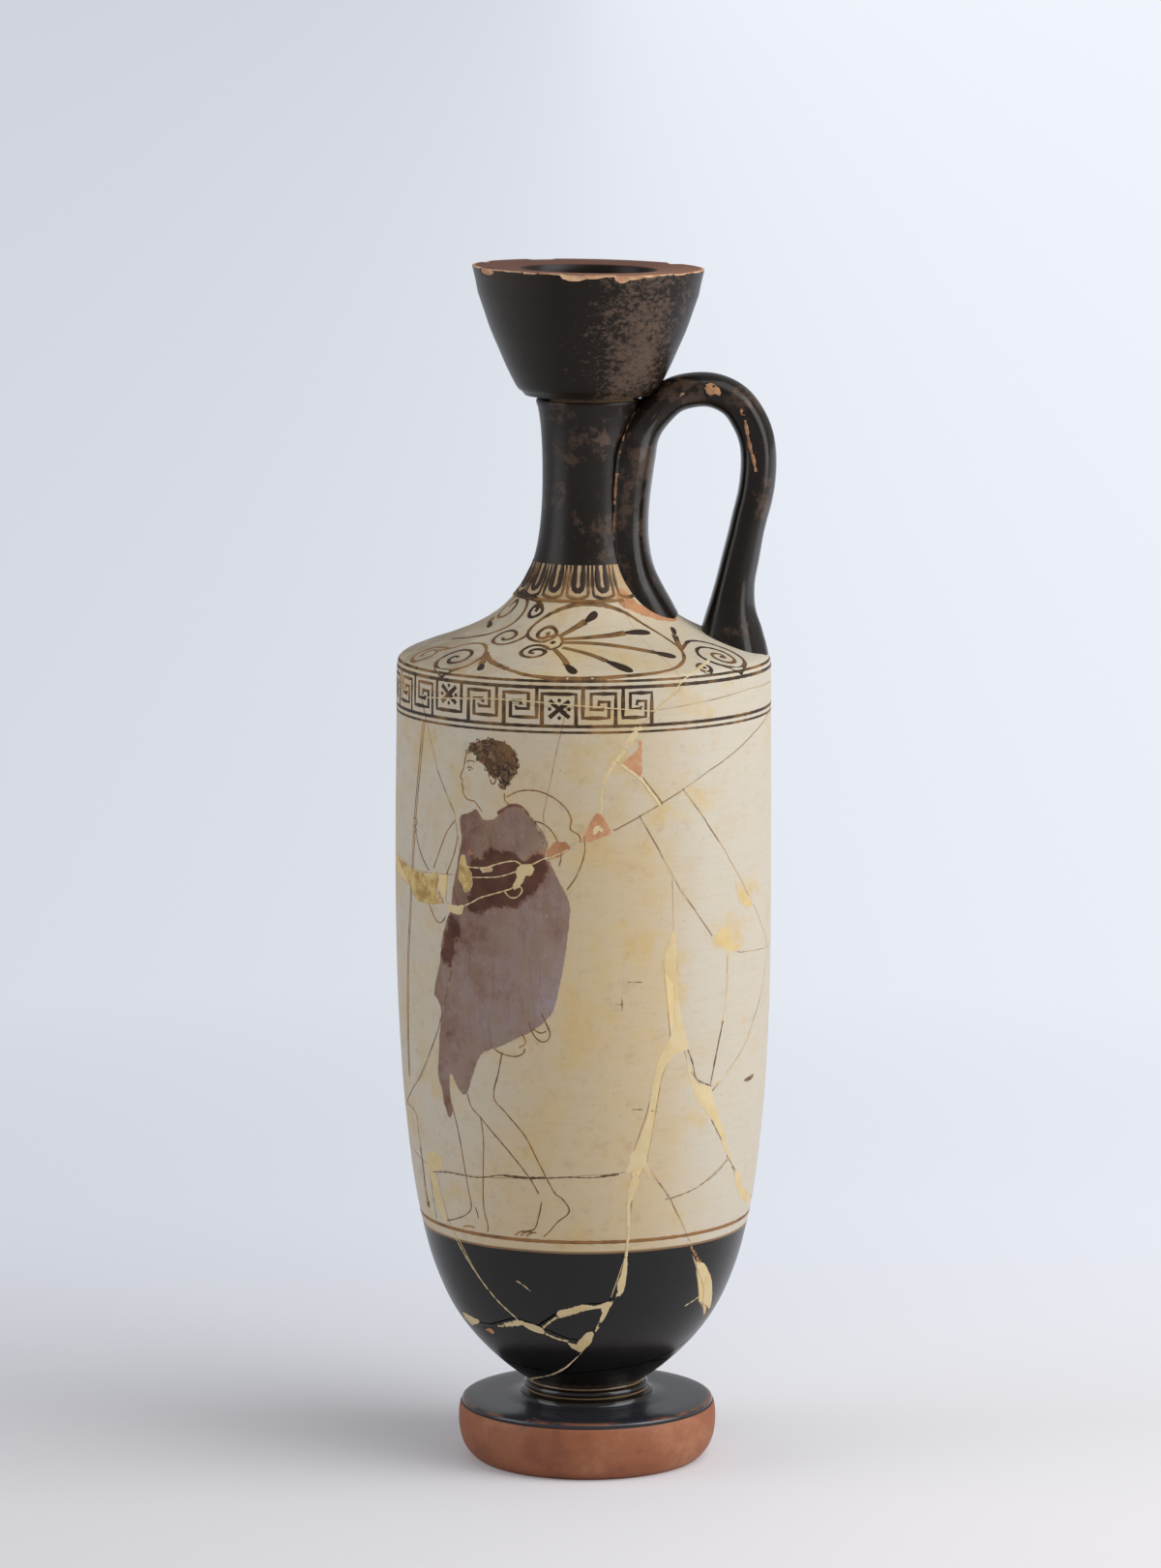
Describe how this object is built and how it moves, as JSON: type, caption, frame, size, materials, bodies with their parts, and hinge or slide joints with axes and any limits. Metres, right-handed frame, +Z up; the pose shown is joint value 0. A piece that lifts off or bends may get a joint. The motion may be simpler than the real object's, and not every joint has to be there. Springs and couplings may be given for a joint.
{
  "type": "oil flask",
  "caption": "tall slender painted pottery flask with a cup-shaped mouth, narrow neck, strap handle, cylindrical body and disc foot, mended from sherds",
  "frame": {"origin": "on the vase's axis, in the plane that the foot stands on", "axes": "+Z up along the axis, +X towards the handle"},
  "size_m": [0.1142, 0.1134, 0.365],
  "materials": {
    "white_slip": "matt white slip on fired clay",
    "black_gloss": "glossy black slip on fired clay",
    "red_clay": "bare fired clay",
    "plaster": "tinted plaster fill"
  },
  "bodies": {
    "root": {"foot": "red_clay", "sherd_01": "white_slip", "sherd_02": "white_slip", "sherd_03": "white_slip", "sherd_04": "white_slip", "sherd_05": "white_slip", "sherd_06": "white_slip", "sherd_07": "white_slip", "sherd_08": "white_slip", "sherd_09": "white_slip", "sherd_10": "white_slip", "sherd_11": "white_slip", "sherd_12": "white_slip", "fill_01": "plaster", "sherd_13": "white_slip", "fill_02": "plaster", "sherd_14": "white_slip", "sherd_15": "white_slip", "sherd_16": "white_slip", "sherd_17": "white_slip", "sherd_18": "white_slip", "sherd_19": "black_gloss", "sherd_20": "white_slip", "sherd_21": "black_gloss", "sherd_22": "black_gloss", "fill_03": "plaster", "sherd_23": "black_gloss", "sherd_24": "black_gloss", "sherd_25": "black_gloss", "neck": "black_gloss", "mouth": "black_gloss", "handle": "black_gloss"}
  },
  "joints": []
}
